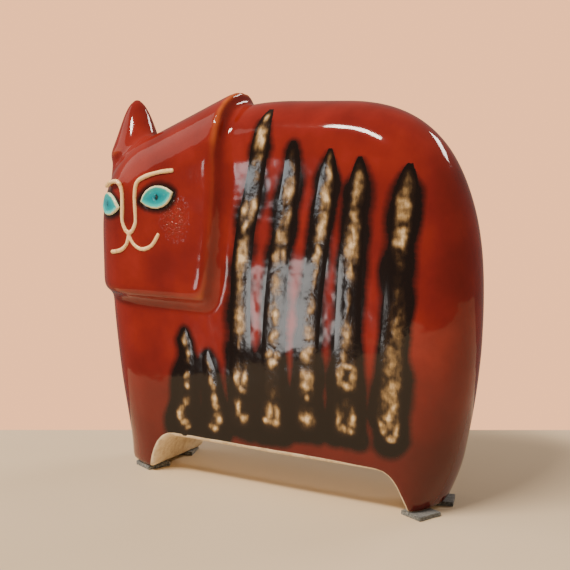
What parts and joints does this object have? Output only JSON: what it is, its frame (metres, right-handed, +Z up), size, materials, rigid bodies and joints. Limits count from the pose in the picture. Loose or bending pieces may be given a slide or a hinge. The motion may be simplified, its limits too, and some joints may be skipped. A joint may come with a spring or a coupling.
{
  "type": "cat figurine",
  "caption": "Glazed stoneware cat with a thick rounded slab body on short feet, head turned to one side, inlaid face, relief stripes on both sides and felt pads.",
  "frame": {"origin": "on the table under the middle of the figure's box", "axes": "+X from the face end to the rear end, +Y from the side that the face is turned to towards the far side, +Z up"},
  "size_m": [0.189, 0.0514, 0.1775],
  "materials": {
    "red_glaze": "deep red high-gloss glaze, orange-brown where thin on edges, nearly black round the stripes and towards the feet",
    "bare_clay": "unglazed buff clay, matte",
    "cream_slip": "cream slip under a thin clear glaze",
    "stripe_slip": "lumpy buff slip with a broken black-brown glaze over it, glossy",
    "turquoise_glaze": "pooled glossy turquoise glaze",
    "felt": "grey pressed wool felt"
  },
  "bodies": {
    "root": {"near_half": "red_glaze", "far_half": "red_glaze", "head": "red_glaze", "near_ear": "red_glaze", "far_ear": "red_glaze", "belly_panel": "bare_clay", "near_brow_line": "cream_slip", "far_brow_line": "cream_slip", "mouth_line": "cream_slip", "near_eye": "turquoise_glaze", "far_eye": "turquoise_glaze", "front_near_pad": "felt", "front_far_pad": "felt", "rear_near_pad": "felt", "rear_far_pad": "felt", "near_stripe_1": "stripe_slip", "far_stripe_1": "stripe_slip", "near_stripe_2": "stripe_slip", "far_stripe_2": "stripe_slip", "near_stripe_3": "stripe_slip", "far_stripe_3": "stripe_slip", "near_stripe_4": "stripe_slip", "far_stripe_4": "stripe_slip", "near_stripe_5": "stripe_slip", "far_stripe_5": "stripe_slip", "near_stripe_6": "stripe_slip", "far_stripe_6": "stripe_slip", "near_stripe_7": "stripe_slip", "far_stripe_7": "stripe_slip"}
  },
  "joints": []
}
